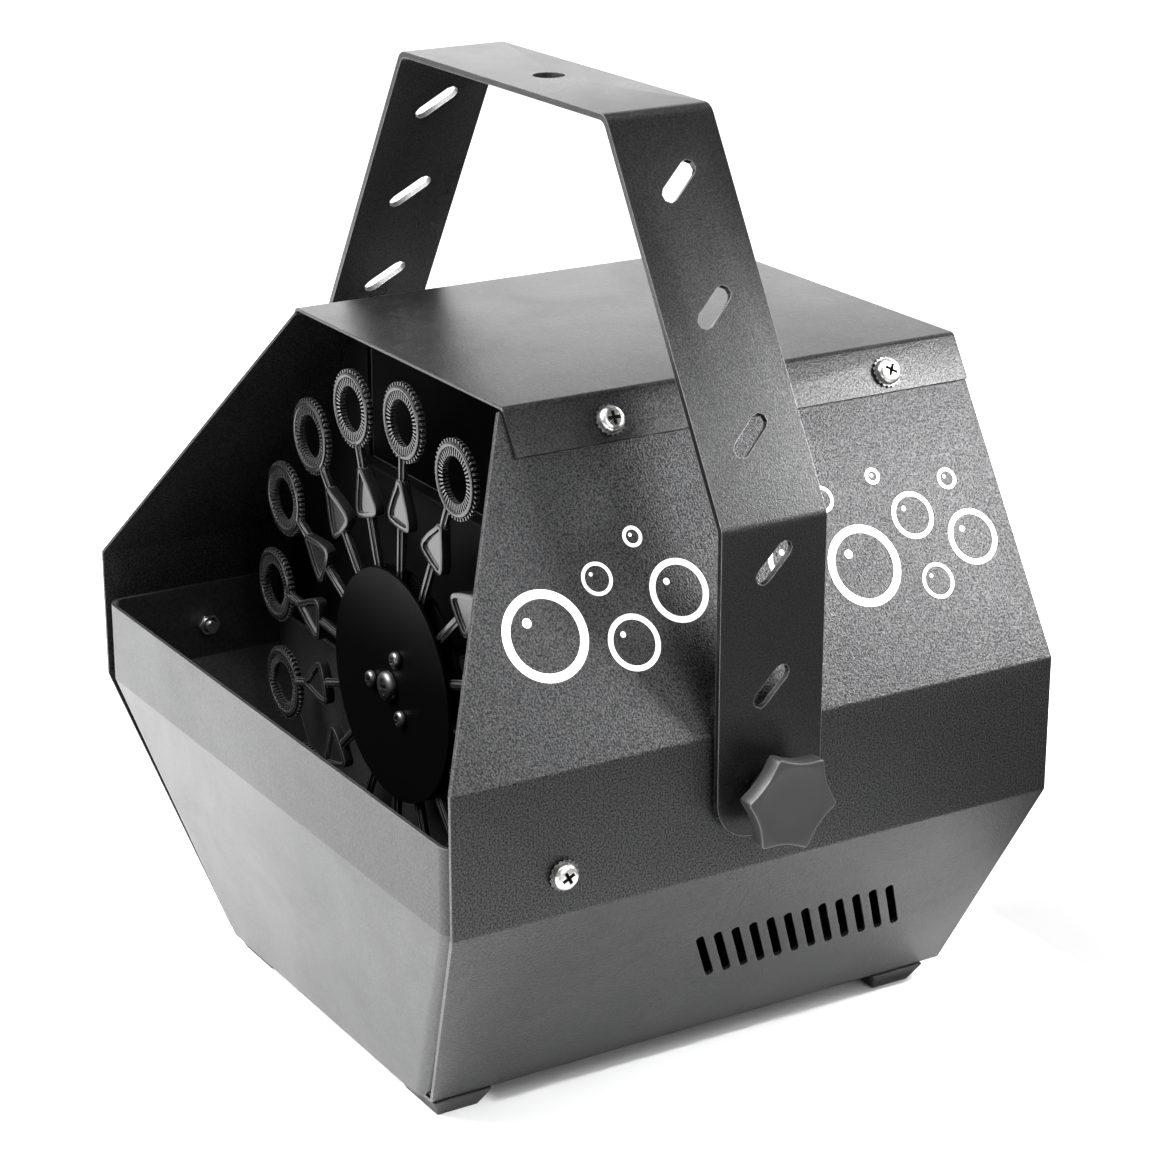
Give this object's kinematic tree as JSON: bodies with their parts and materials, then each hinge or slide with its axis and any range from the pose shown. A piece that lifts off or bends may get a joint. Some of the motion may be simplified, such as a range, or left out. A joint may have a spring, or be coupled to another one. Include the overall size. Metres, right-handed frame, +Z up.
{
  "type": "bubble machine",
  "caption": "Bubble machine with a six-sided folded steel case, a wand wheel in a fluid tray, a blower fan and a hanging yoke with clamp knobs.",
  "frame": {"origin": "on the ground under the middle of the case", "axes": "+Z up; the open front, where the bubbles leave, faces -Y; +X is to the right for someone who looks at the front"},
  "size_m": [0.272, 0.208, 0.297],
  "materials": {
    "case_paint": "charcoal-black textured powder coat",
    "tray_paint": "smoother satin black powder coat",
    "yoke_paint": "charcoal-black textured powder coat",
    "wand_plastic": "glossy black moulded plastic",
    "knob_plastic": "matte black moulded plastic",
    "foot_rubber": "black rubber",
    "screw_plate": "bright nickel plating",
    "motor_plate": "zinc-plated steel can",
    "fan_plastic": "matte black moulded plastic",
    "fitting_plastic": "black moulded nylon",
    "guard_wire": "bright plated steel wire",
    "terminal_plastic": "off-white moulded nylon"
  },
  "bodies": {
    "case": {"left_side_panel": "case_paint", "right_side_panel": "case_paint", "top_cover": "case_paint", "base_plate": "case_paint", "rear_panel": "case_paint", "partition": "case_paint", "fluid_tray": "tray_paint", "air_duct": "fan_plastic", "fan_frame": "fan_plastic", "finger_guard": "guard_wire", "wheel_motor": "motor_plate", "right_friction_washer": "foot_rubber", "right_press_nut": "screw_plate", "right_tray_screw": "screw_plate", "right_tray_nut": "screw_plate", "right_front_cover_screw": "screw_plate", "right_front_foot": "foot_rubber", "right_rear_cover_screw": "screw_plate", "right_rear_foot": "foot_rubber", "left_friction_washer": "foot_rubber", "left_press_nut": "screw_plate", "left_tray_screw": "screw_plate", "left_tray_nut": "screw_plate", "left_front_cover_screw": "screw_plate", "left_front_foot": "foot_rubber", "left_rear_cover_screw": "screw_plate", "left_rear_foot": "foot_rubber", "power_inlet": "fitting_plastic", "switch_body": "fitting_plastic", "terminal_block": "terminal_plastic"},
    "wheel": {"motor_shaft": "screw_plate", "wheel_hub": "wand_plastic", "front_disc": "wand_plastic", "rear_disc": "wand_plastic", "wand_01": "wand_plastic", "wand_02": "wand_plastic", "wand_03": "wand_plastic", "wand_04": "wand_plastic", "wand_05": "wand_plastic", "wand_06": "wand_plastic", "wand_07": "wand_plastic", "wand_08": "wand_plastic", "wand_09": "wand_plastic", "wand_10": "wand_plastic", "wand_11": "wand_plastic", "wand_12": "wand_plastic", "wand_13": "wand_plastic", "wand_14": "wand_plastic", "wand_15": "wand_plastic", "wand_16": "wand_plastic", "hub_screw": "screw_plate", "disc_screw_1": "screw_plate", "disc_screw_2": "screw_plate", "disc_screw_3": "screw_plate"},
    "fan": {"fan_rotor": "fan_plastic"},
    "yoke": {"yoke": "yoke_paint"},
    "right_knob": {"right_knob": "knob_plastic"},
    "left_knob": {"left_knob": "knob_plastic"},
    "rocker": {"switch_rocker": "fitting_plastic"},
    "fuse_drawer": {"fuse_drawer": "fitting_plastic"}
  },
  "joints": [
    {"name": "yoke_tilt", "type": "hinge", "parent": "case", "child": "yoke", "pos_m": [0, -0.0015, 0.11], "axis": [1, 0, 0], "range_deg": [-55, 60]},
    {"name": "right_knob_turn", "type": "hinge", "parent": "case", "child": "right_knob", "pos_m": [0.13, -0.0015, 0.11], "axis": [1, 0, 0], "range_deg": [0, 540]},
    {"name": "left_knob_turn", "type": "hinge", "parent": "case", "child": "left_knob", "pos_m": [-0.13, -0.0015, 0.11], "axis": [-1, 0, 0], "range_deg": [0, 540]},
    {"name": "wheel_spin", "type": "hinge", "parent": "case", "child": "wheel", "pos_m": [0, -0.056, 0.1123], "axis": [0, 1, 0], "continuous": true},
    {"name": "fan_spin", "type": "hinge", "parent": "case", "child": "fan", "pos_m": [0, 0.08, 0.151], "axis": [0, 1, 0], "continuous": true},
    {"name": "switch_rock", "type": "hinge", "parent": "case", "child": "rocker", "pos_m": [0.034, 0.0975, 0.048], "axis": [1, 0, 0], "range_deg": [0, 22]},
    {"name": "fuse_drawer_slide", "type": "slide", "parent": "case", "child": "fuse_drawer", "axis": [0, 1, 0], "range_m": [0, 0.018]}
  ]
}
